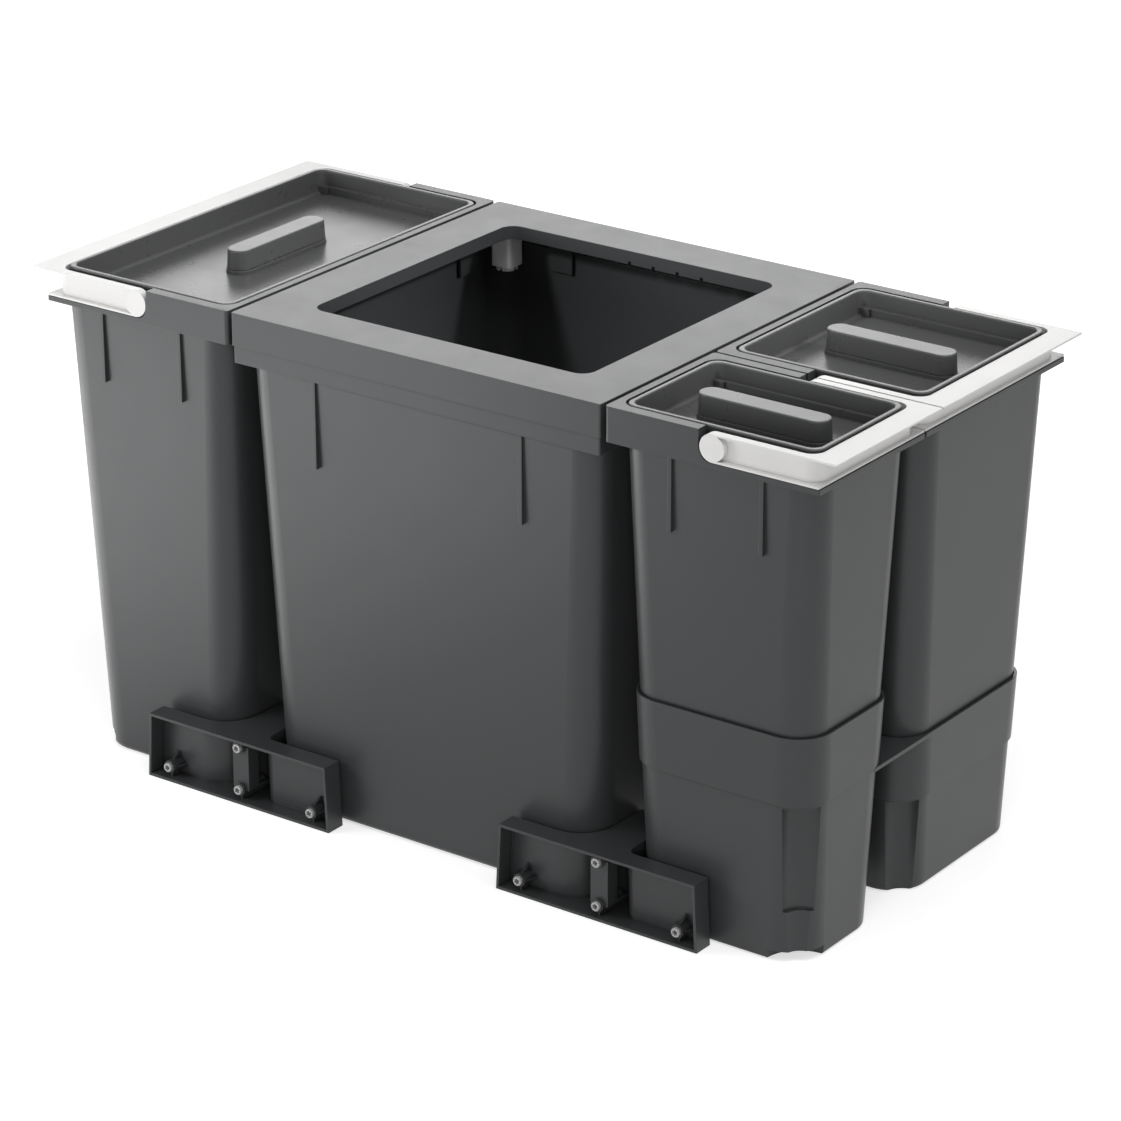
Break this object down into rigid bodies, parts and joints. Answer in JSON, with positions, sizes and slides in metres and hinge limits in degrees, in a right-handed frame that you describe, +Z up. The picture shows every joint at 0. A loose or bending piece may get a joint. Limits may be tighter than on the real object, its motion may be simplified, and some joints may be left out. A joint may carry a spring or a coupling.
{
  "type": "pull-out waste bin insert set",
  "caption": "Row of anthracite waste bins for a wide pull-out drawer, with inset lids, white swing handles, a bag frame, a riser base and front spacers.",
  "frame": {"origin": "On the floor of the drawer, under the middle of the whole set's bounding box.", "axes": "+X runs along the row to the right as seen from the drawer front, +Y runs to the back of the drawer, +Z is up."},
  "size_m": [0.759, 0.3556, 0.4175],
  "materials": {
    "anthracite_plastic": "fine-textured anthracite polypropylene, slightly satin",
    "lid_plastic": "fine-textured anthracite polypropylene, slightly satin",
    "white_plastic": "smooth white plastic, low gloss",
    "post_plastic": "light grey moulded plastic",
    "sleeve_plastic": "light grey moulded plastic"
  },
  "bodies": {
    "drawer_spacers": {"spacer_left": "anthracite_plastic", "spacer_left_sleeves": "sleeve_plastic", "spacer_right": "anthracite_plastic", "spacer_right_sleeves": "sleeve_plastic"},
    "left_bin": {"left_bin": "anthracite_plastic"},
    "left_handle": {"left_handle_front_arm": "white_plastic", "left_handle_grip": "white_plastic", "left_handle_back_arm": "white_plastic"},
    "left_lid": {"left_lid": "lid_plastic", "left_lid_grip": "lid_plastic"},
    "middle_bin": {"middle_bin": "anthracite_plastic"},
    "bag_frame": {"bag_frame": "anthracite_plastic", "frame_corner_posts": "post_plastic"},
    "riser_base": {"riser_base": "anthracite_plastic"},
    "front_right_bin": {"front_right_bin": "anthracite_plastic"},
    "front_right_handle": {"front_right_handle_front_arm": "white_plastic", "front_right_handle_grip": "white_plastic", "front_right_handle_back_arm": "white_plastic"},
    "front_right_lid": {"front_right_lid": "lid_plastic", "front_right_lid_grip": "lid_plastic"},
    "rear_right_bin": {"rear_right_bin": "anthracite_plastic"},
    "rear_right_handle": {"rear_right_handle_front_arm": "white_plastic", "rear_right_handle_grip": "white_plastic", "rear_right_handle_back_arm": "white_plastic"},
    "rear_right_lid": {"rear_right_lid": "lid_plastic", "rear_right_lid_grip": "lid_plastic"}
  },
  "joints": [
    {"name": "left_bin_lift", "type": "slide", "parent": "drawer_spacers", "child": "left_bin", "axis": [0, 0, 1], "range_m": [0, 0.43]},
    {"name": "left_handle_swing", "type": "hinge", "parent": "left_bin", "child": "left_handle", "pos_m": [-0.2735, 0.0038, 0.40505], "axis": [0, 1, 0], "range_deg": [0, 90]},
    {"name": "left_lid_lift", "type": "slide", "parent": "left_bin", "child": "left_lid", "axis": [0, 0, 1], "range_m": [0, 0.06]},
    {"name": "middle_bin_lift", "type": "slide", "parent": "drawer_spacers", "child": "middle_bin", "axis": [0, 0, 1], "range_m": [0, 0.43]},
    {"name": "bag_frame_lift", "type": "slide", "parent": "middle_bin", "child": "bag_frame", "axis": [0, 0, 1], "range_m": [0, 0.06]},
    {"name": "riser_lift", "type": "slide", "parent": "drawer_spacers", "child": "riser_base", "axis": [0, 0, 1], "range_m": [0, 0.43]},
    {"name": "front_right_bin_lift", "type": "slide", "parent": "riser_base", "child": "front_right_bin", "axis": [0, 0, 1], "range_m": [0, 0.295]},
    {"name": "front_right_handle_swing", "type": "hinge", "parent": "front_right_bin", "child": "front_right_handle", "pos_m": [0.2735, -0.0987, 0.40505], "axis": [0, -1, 0], "range_deg": [0, 90]},
    {"name": "front_right_lid_lift", "type": "slide", "parent": "front_right_bin", "child": "front_right_lid", "axis": [0, 0, 1], "range_m": [0, 0.06]},
    {"name": "rear_right_bin_lift", "type": "slide", "parent": "riser_base", "child": "rear_right_bin", "axis": [0, 0, 1], "range_m": [0, 0.345]},
    {"name": "rear_right_handle_swing", "type": "hinge", "parent": "rear_right_bin", "child": "rear_right_handle", "pos_m": [0.2735, 0.0763, 0.40505], "axis": [0, -1, 0], "range_deg": [0, 90]},
    {"name": "rear_right_lid_lift", "type": "slide", "parent": "rear_right_bin", "child": "rear_right_lid", "axis": [0, 0, 1], "range_m": [0, 0.06]}
  ]
}
